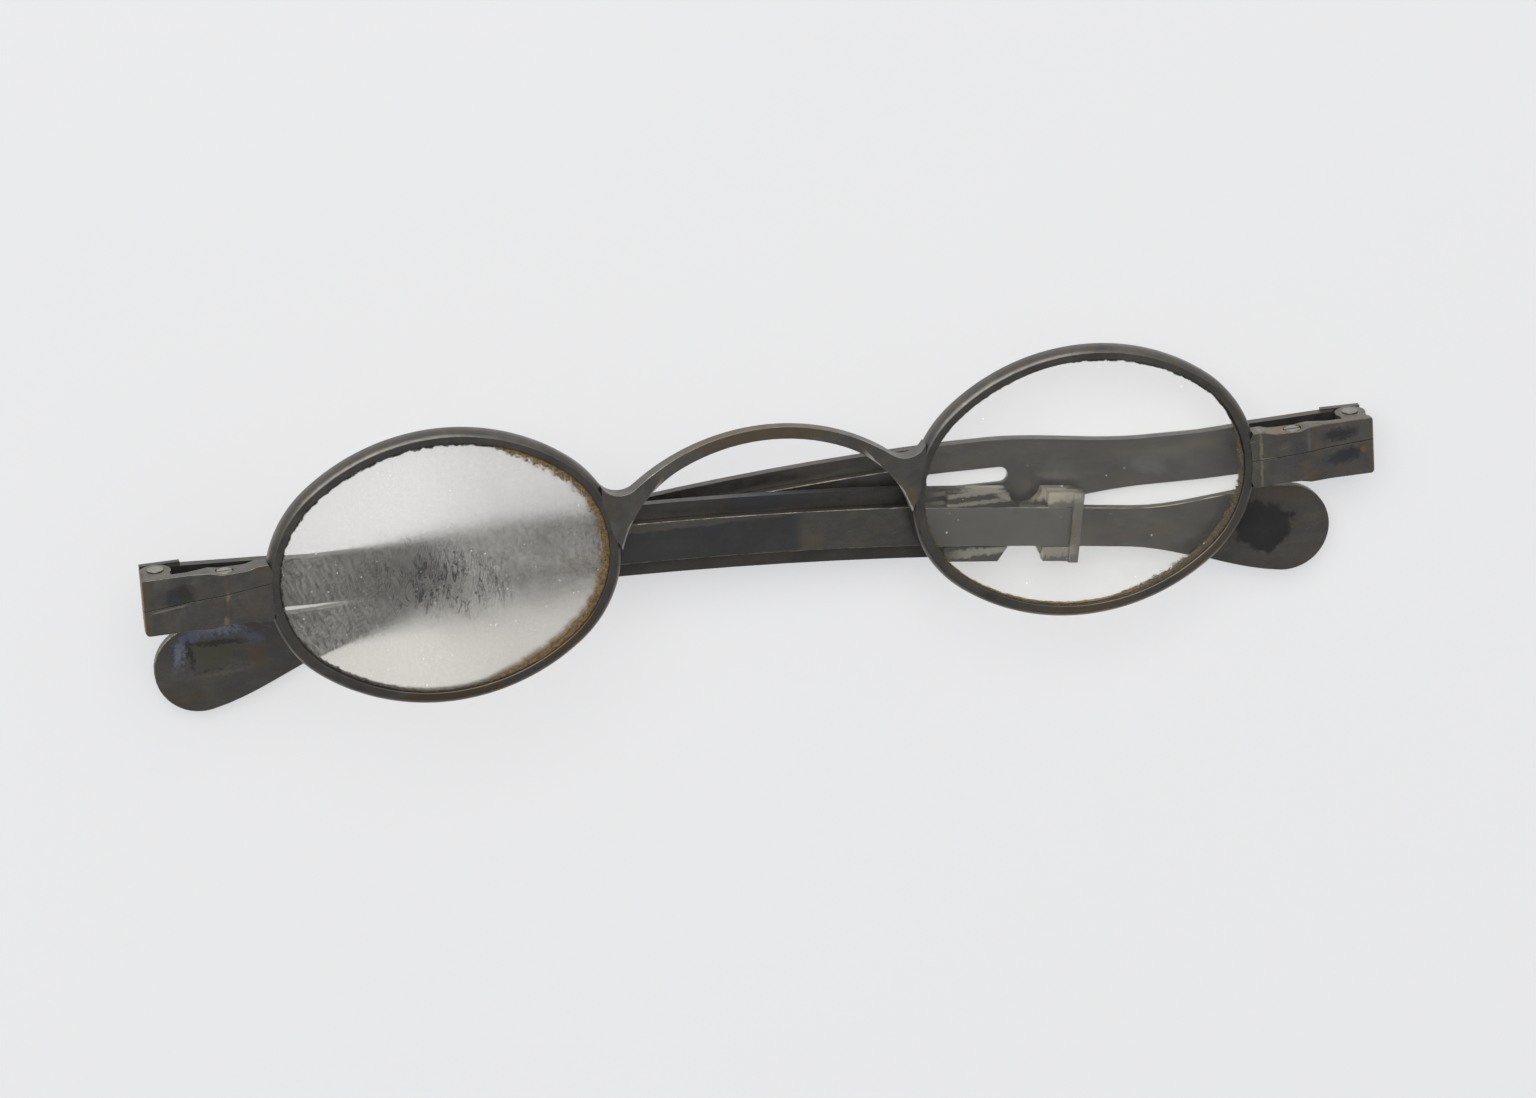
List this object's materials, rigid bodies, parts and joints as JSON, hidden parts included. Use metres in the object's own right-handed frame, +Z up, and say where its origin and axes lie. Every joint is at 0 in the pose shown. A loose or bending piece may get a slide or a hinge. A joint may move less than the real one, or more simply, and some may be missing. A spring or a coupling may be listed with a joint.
{
  "type": "spectacles with sliding temples",
  "caption": "Folded antique silver spectacles with oval lenses, an arched bridge and hinged temples that slide longer.",
  "frame": {"origin": "centre of the folded object's box, on the face it lies on", "axes": "+X towards the right end piece along the front, +Y towards the brow, +Z up out of the lenses"},
  "size_m": [0.1121, 0.0268, 0.0111],
  "materials": {
    "tarnished_silver": "worn dark tarnish with brown and blue-black patches",
    "solder_worn_silver": "worn pale solder",
    "small_steel": "darkened, worn",
    "glass": "clear with haze and dirt at the rims"
  },
  "bodies": {
    "front": {"left_rim": "tarnished_silver", "right_rim": "tarnished_silver", "bridge": "tarnished_silver", "left_upper_end_piece": "tarnished_silver", "right_upper_end_piece": "tarnished_silver", "left_lower_end_piece": "tarnished_silver", "right_lower_end_piece": "tarnished_silver", "left_lens": "glass", "right_lens": "glass", "left_closing_screw": "small_steel", "right_closing_screw": "small_steel", "left_hinge_pin": "small_steel", "right_hinge_pin": "small_steel"},
    "left_temple": {"left_temple_bar": "tarnished_silver", "left_collar": "solder_worn_silver"},
    "right_temple": {"right_temple_bar": "tarnished_silver", "right_collar": "solder_worn_silver"},
    "left_slide": {"left_slide": "tarnished_silver", "left_slide_stud": "small_steel"},
    "right_slide": {"right_slide": "tarnished_silver", "right_slide_stud": "small_steel"}
  },
  "joints": [
    {"name": "left_hinge", "type": "hinge", "parent": "front", "child": "left_temple", "pos_m": [-0.05461, 0.00059, 0.00872], "axis": [0, 1, 0], "range_deg": [0, 95]},
    {"name": "right_hinge", "type": "hinge", "parent": "front", "child": "right_temple", "pos_m": [0.05438, 0.00059, 0.00205], "axis": [0, -1, 0], "range_deg": [0, 91.5]},
    {"name": "left_slide_travel", "type": "hinge", "parent": "left_temple", "child": "left_slide", "pos_m": [-0.0287, -0.40006, 0.00645], "axis": [-0.061, 0, -0.9981], "range_deg": [-0.63, 5.27]},
    {"name": "right_slide_travel", "type": "hinge", "parent": "right_temple", "child": "right_slide", "pos_m": [0.02212, -0.26442, 0.00137], "axis": [0, 0, 1], "range_deg": [-1.6, 7.31]}
  ]
}
